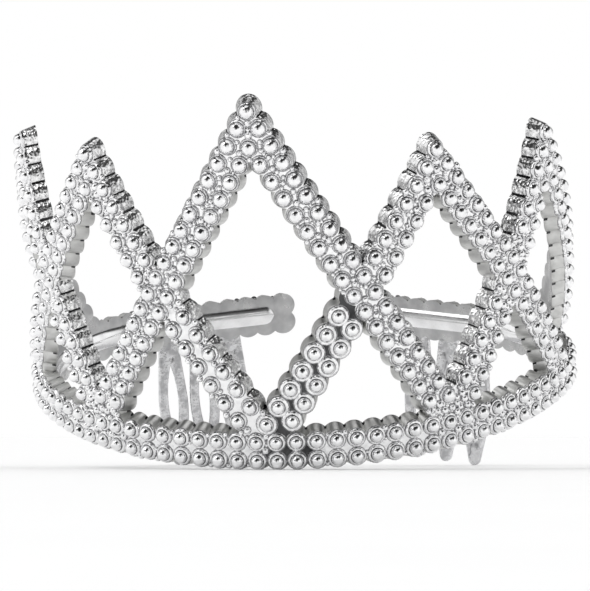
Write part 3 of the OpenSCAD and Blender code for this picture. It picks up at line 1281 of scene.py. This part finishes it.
@dataclass
class CombLoop:
    """One long loop of a comb, with its slot, the pit at its neck and the mark at its tip.

    Args:
        number: Its number, 1 being nearest to the band's free end.
        side: Its side of the crown.
        first_place: Distance along the band, from the front, of loop number 1.
        spacing: Distance from one loop to the next.
        length: Length below the band.
        width: Greatest width.
        thickness: Thickness.
        lean: Angle in degrees by which it leans in.
        root_z: Height of its root.
        middle_d: Distance outward of its middle.
        slot_length: Length of its slot.
        slot_width: Width of its slot.
        slot_place: How far down the slot's middle is, as a share of the length.
        neck: Half width of its neck.
        tip: Radius of its tip.
        sunk: How far its root is sunk into the band.
    """

    number: int
    side: Side
    first_place: float = 172.5
    spacing: float = 8.75
    length: float = 34.129
    width: float = 8.1
    thickness: float = 2.0
    lean: float = 8.0
    root_z: float = -8.2
    middle_d: float = -3.0
    slot_length: float = 20.5
    slot_width: float = 2.9
    slot_place: float = 0.47
    neck: float = 2.5
    tip: float = 1.5
    sunk: float = 2.4

    # Steps of its outline, and lines across each of its faces between the rounded edges.
    STEPS = 240
    FACE_LINES = 9
    # Its rounded edge, as rows of (distance from the edge, share of half the thickness).
    ROUNDING = ((0.0, 0.5), (0.10, 0.8), (0.34, 0.97))

    @property
    def place(self) -> float:
        """Distance of the loop along the band from the front."""
        return self.first_place - (self.number - 1) * self.spacing

    def oval(self, y: np.ndarray, length: float, width: float) -> np.ndarray:
        """Half width of a pointed oval at the distance y from its middle."""
        radius = (length * length + width * width) / width / 4
        return np.maximum(np.sqrt(np.maximum(radius**2 - y**2, 0)) - radius + width / 2, 0)

    def half_width(self, y: np.ndarray) -> np.ndarray:
        """Half width of the loop's outline, which is bowed out everywhere.

        Args:
            y: Heights, 0 at the band and negative below it.

        Returns:
            The half width at each height.
        """
        at = np.linspace(-self.length, self.sunk, self.STEPS)
        reach = self.oval(at + self.length / 2, self.length, self.width)
        reach = np.maximum(reach, np.where(at > -2, self.neck, 0))
        low = at + self.length - self.tip
        reach = np.maximum(reach, np.sqrt(np.maximum(self.tip**2 - low**2, 0)))
        hull: list[tuple[float, float]] = []
        for point in zip(at, reach):
            while len(hull) > 1 and self.turns_left(hull[-2], hull[-1], point):
                hull.pop()
            hull.append(point)
        return np.interp(y, *np.array(hull).T)

    @staticmethod
    def turns_left(
        a: tuple[float, float], b: tuple[float, float], c: tuple[float, float]
    ) -> bool:
        """Whether the way from a over b to c turns left, or runs straight on."""
        return (b[0] - a[0]) * (c[1] - a[1]) - (b[1] - a[1]) * (c[0] - a[0]) >= 0

    def dents(self, x: np.ndarray, y: np.ndarray) -> np.ndarray:
        """Depth of the pit at the neck and the hooked mark at the tip, in the inner face.

        Args:
            x: Distances to the side from the loop's middle line.
            y: Heights, 0 at the band and negative below it.

        Returns:
            The depth at each place.
        """
        pit_x, pit_y, pit_depth, pit_spread = 0.7, -3.4, 0.6, 0.35
        pit = pit_depth * np.exp(-((x - pit_x) ** 2 + (y - pit_y) ** 2) / pit_spread)
        mark_y, mark_radius, leg_length = 5.2 - self.length, 1.15, 2.2
        line_width, line_depth = 0.32, 0.45
        rise = y - mark_y
        off_line = np.hypot(x, np.maximum(rise, 0)) - mark_radius
        legs = np.where((rise > 0) | ((x > 0) & (rise > -leg_length)), 1.0, 0.0)
        return pit + line_depth * np.exp(-((off_line / line_width) ** 2)) * legs

    def build(self, wall: Wall, finishes: Finishes) -> None:
        """Builds the loop as a ring about its slot, and lays it on the wall.

        Args:
            wall: The wall that it hangs from.
            finishes: The crown's finishes.
        """
        turn = np.linspace(0, 2 * math.pi, self.STEPS // 2 + 1)[:-1]
        rise, side = np.cos(turn), np.sign(np.sin(turn) + 1e-9)
        middle = -self.slot_place * self.length
        slot = self.slot_length / 2
        inner_y = middle + slot * rise
        inner_x = side * self.oval(inner_y - middle, self.slot_length, self.slot_width)
        above, below = self.sunk - middle - slot, self.length + middle - slot
        outer_y = inner_y + np.where(rise > 0, above, below) * np.sign(rise) * np.abs(rise) ** 3
        outer_x = side * self.half_width(outer_y)
        span = np.hypot(outer_x - inner_x, outer_y - inner_y)
        deep = self.thickness / 2
        rows = []
        for face in (1, -1):
            shares = [(step / span, high) for step, high in self.ROUNDING]
            shares += [(t + 0 * span, 1.0) for t in np.linspace(0.24, 0.76, self.FACE_LINES)]
            shares += [(1 - step / span, high) for step, high in reversed(self.ROUNDING)]
            for share, high in shares if face > 0 else reversed(shares):
                x = outer_x + (inner_x - outer_x) * share
                y = outer_y + (inner_y - outer_y) * share
                cut = self.dents(x, y) * float(face < 0 and high == 1.0)
                rows.append(np.stack([x, y, face * (deep * high - cut)], -1))
        local = np.stack(rows, 1)
        heading = float(wall.heading(np.array(self.place)))
        tilt = math.radians(self.lean)
        along = np.array([math.cos(heading), math.sin(heading), 0.0])
        out = np.array([math.sin(heading), -math.cos(heading), 0.0])
        up = np.array([0.0, 0.0, 1.0])
        down_in = up * math.cos(tilt) + out * math.sin(tilt)
        axes = np.stack([along, down_in, out * math.cos(tilt) - up * math.sin(tilt)])
        points = wall.point(self.place, self.root_z, self.middle_d) + local @ axes
        points[..., 0] *= self.side.value
        parts = MeshParts()
        parts.grid(wall.rest(points), 0, (True, True), flip=self.side is Side.LEFT)
        name = f"{self.side.word}_loop_{self.number}"
        looks = [finishes.of(Finishes.COMB)]
        parts.build(name + "_comb", looks, [name], Slot.COMB, ROUND_CREASE)


# The studio


@dataclass
class Studio:
    """The floor, the soft light and the camera.

    Args:
        floor_reach: How far the floor reaches to each side, in metres.
        azimuth: Angle in degrees of the camera to the right of the front.
        camera_height: Its height over the floor in metres.
        distance: Its distance from the target in metres.
        target: The place that it looks at, in metres.
        focal: Its focal length in pixels.
        picture: Width and height of the picture in pixels.
    """

    floor_reach: float = 6.0
    azimuth: float = 8.7
    camera_height: float = 0.009
    distance: float = 0.80
    target: tuple[float, float, float] = (0.0005, 0.004, 0.0445)
    focal: float = 3092.0
    picture: tuple[int, int] = (590, 591)

    def add_floor(self) -> None:
        """Adds the pale floor."""
        mesh = bpy.data.meshes.new("floor")
        size = self.floor_reach
        mesh.from_pydata(
            [(-size, -size, 0), (size, -size, 0), (size, size, 0), (-size, size, 0)],
            [],
            [(0, 1, 2, 3)],
        )
        material = bpy.data.materials.new("pale_floor")
        tree = NodeTree(material)
        speck = tree.noise(tree.place(), size=40.0)
        tree.finish(
            {
                "Base Color": speck.mix((0.93, 0.93, 0.93), (0.95, 0.95, 0.95)),
                "Roughness": 0.7,
                "Specular IOR Level": 0.2,
            }
        )
        mesh.materials.append(material)
        floor = bpy.data.objects.new("floor", mesh)
        bpy.context.scene.collection.objects.link(floor)

    def add_sun(
        self, name: str, place: tuple[float, float, float], spread: float, power: float
    ) -> None:
        """Adds a broad soft light that falls from the side of place.

        Args:
            name: Its name.
            place: A point towards it.
            spread: Angle in degrees that it fills.
            power: Its strength in watts for each square metre.
        """
        light = bpy.data.lights.new(name, "SUN")
        light.angle = math.radians(spread)
        light.energy = power
        lamp = bpy.data.objects.new(name, light)
        lamp.rotation_euler = (-Vector(place)).to_track_quat("-Z", "Y").to_euler()
        bpy.context.scene.collection.objects.link(lamp)

    def add_world(self) -> None:
        """Adds the white room, with the dark gaps between its soft panels.

        The bright metal mirrors the gaps: wings high up that rise to both sides, a broader crest
        about them and a stem below them at the front, and an upright bar on each side. Numbers
        here are parts of a direction.
        """
        world = bpy.data.worlds.new("white_room")
        bpy.context.scene.world = world
        tree = NodeTree(world)
        way = tree.add("TexCoord", {}, {}, "Generated")
        axes = tree.add("SeparateXYZ", {}, {"Vector": way})
        side, depth, rise = (Socket(tree, out) for out in axes.link.node.outputs)
        front = depth.step(-0.02, -0.16)
        wide = (side * side + 0.0004) ** 0.5
        lift = rise - wide * 0.34
        wings = lift.between(0.48, 0.92, blur=0.08) * wide.step(0.60, 0.50)
        crest = lift.between(0.16, 0.94, blur=0.12) * wide.step(0.82, 0.66) * front
        stem = side.between(-0.20, 0.28, blur=0.12) * rise.step(0.60, 0.50) * front
        posts = side.between(0.52, 0.70, blur=0.04) + side.between(-0.72, -0.54, blur=0.04)
        bars = posts * rise.step(0.12, 0.20)
        behind = depth.step(0.0, 0.35) * rise.step(0.80, 0.66)
        dark = (wings + crest * 0.9 + stem * 0.75 + bars * 0.7).clamp()
        tone = (0.62 + 0.44 * (side * side).step(0.02, 0.30)) * (1 - 0.32 * behind)
        tone = tone + rise.step(0.84, 0.96) * 0.55
        lit = (tone * (1 - dark * 0.96)).mix((0.0, 0.0, 0.0), (1.0, 1.0, 1.0))
        paths = tree.add("LightPath", {}, {}, "Is Glossy Ray")
        room = tree.add("Background", {}, {"Color": lit, "Strength": 1.0})
        plain = tree.add("Background", {}, {"Color": (1.0, 1.0, 1.0, 1.0), "Strength": 1.0})
        both = tree.add("MixShader", {}, {0: paths, 1: plain, 2: room})
        tree.add("OutputWorld", {}, {"Surface": both})

    def add_camera(self) -> None:
        """Adds the camera at the photograph's azimuth, just above the floor."""
        azimuth = math.radians(self.azimuth)
        drop = self.target[2] - self.camera_height
        level = math.sqrt(self.distance**2 - drop**2)
        place = Vector(
            (
                self.target[0] + level * math.sin(azimuth),
                self.target[1] - level * math.cos(azimuth),
                self.camera_height,
            )
        )
        data = bpy.data.cameras.new("camera")
        data.sensor_fit = "HORIZONTAL"
        data.lens = data.sensor_width * self.focal / self.picture[0]
        data.clip_start = 0.01
        camera = bpy.data.objects.new("camera", data)
        camera.location = place
        camera.rotation_euler = (Vector(self.target) - place).to_track_quat("-Z", "Y").to_euler()
        bpy.context.scene.collection.objects.link(camera)
        bpy.context.scene.camera = camera

    def build(self) -> None:
        """Adds everything."""
        self.add_floor()
        self.add_world()
        self.add_sun("key_panel", place=(-0.7, -0.5, 1.0), spread=36.0, power=0.55)
        self.add_camera()
        view = bpy.context.scene.view_settings
        view.view_transform = "Standard"
        LOG.info("studio built")


def crown_pieces() -> list[Piece]:
    """The crown's beaded pieces, those whose beads run through first."""
    centre = Strut(top=0.0, foot=48.8, height=83.5)
    middle_in = Strut(top=46.7, foot=0.0, height=69.8)
    middle_out = Strut(top=46.7, foot=94.0, height=69.8)
    end_in = Strut(top=88.0, foot=48.8, height=65.0)
    end_out = Strut(top=88.0, foot=127.0, height=65.0)
    vee_from, strut_from = middle_in.crossing(centre), end_in.crossing(middle_out)
    foot_reach = 3.0
    whole = (0.0, math.inf)

    def half(
        side: Side, strut: Strut, first: float, last: float, sink: float, **more: Any
    ) -> Strip:
        """One strut's strip on one side of the crown.

        Args:
            side: The side.
            strut: The strut.
            first: Where the strip begins, as a distance down the strut.
            last: Where it ends.
            sink: How far it lies under the strips that cross it.
            more: Its other sizes.

        Returns:
            The strip.
        """
        return strut.strip(first, last, sink=sink, mirror=side is Side.LEFT, **more)

    band = Strip(
        (2.5, -2.4), 0.0, -38.0, 37.0, scale=1.06, ball=1.58,
        dark=(-0.9, 1.9), clean=(-8.0, 8.0), round_ends=True,
    )
    right_first = (Side.RIGHT, Side.LEFT)
    pieces = [
        Piece("headband", [band]),
        Piece(
            "centre_peak",
            [
                half(
                    side, centre, 0.0, centre.length + foot_reach, 0.02,
                    limit=(1, centre.top), ball=1.8,
                )
                for side in right_first
            ],
        ),
    ]
    for side in right_first:
        pieces.append(
            Piece(
                side.word + "_middle_peak",
                [
                    half(
                        side, middle_out, 0.0, middle_out.length + foot_reach, 0.03,
                        limit=(1, middle_out.top),
                    ),
                    half(side, middle_in, 0.0, vee_from, 0.05, limit=(-1, middle_in.top)),
                ],
            )
        )
    vee = {"pitch": 5.5, "limit": (1, middle_in.foot), "shifts": (0.74, 0.53)}
    looks = {
        # The vee's right leg has painted shadow on its face and painted shade on both walls.
        Side.RIGHT: {"scale": 1.2, "dark": whole, "bright": (False, False)},
        Side.LEFT: {"clean": whole},
    }
    pieces.append(
        Piece(
            "front_vee",
            [
                half(
                    side, middle_in, vee_from, middle_in.length + foot_reach, 0.07,
                    **vee, **looks[side],
                )
                for side in right_first
            ],
        )
    )
    for side in right_first:
        pieces.append(
            Piece(
                side.word + "_end_peak",
                [
                    half(
                        side, end_out, 0.0, end_out.length + foot_reach, 0.04,
                        limit=(1, end_out.top),
                    ),
                    half(side, end_in, 0.0, strut_from, 0.06, limit=(-1, end_in.top)),
                ],
            )
        )
        pieces.append(
            Piece(
                side.word + "_side_strut",
                [half(side, end_in, strut_from, end_in.length + foot_reach, 0.08)],
            )
        )
    return pieces


def main() -> None:
    """Builds the dressed crown and its studio."""
    logging.basicConfig(level=logging.INFO, format="%(message)s")
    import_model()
    wall = Wall()
    work = BeadedWork(wall, Finishes())
    pieces = crown_pieces()
    for piece in pieces:
        work.claim(piece)
    for piece in pieces:
        work.build(piece)
    Rib().build(wall, work.finishes)
    for side in Side:
        for number in (1, 2, 3):
            CombLoop(number, side).build(wall, work.finishes)
    Studio().build()


if __name__ == "__main__":
    main()
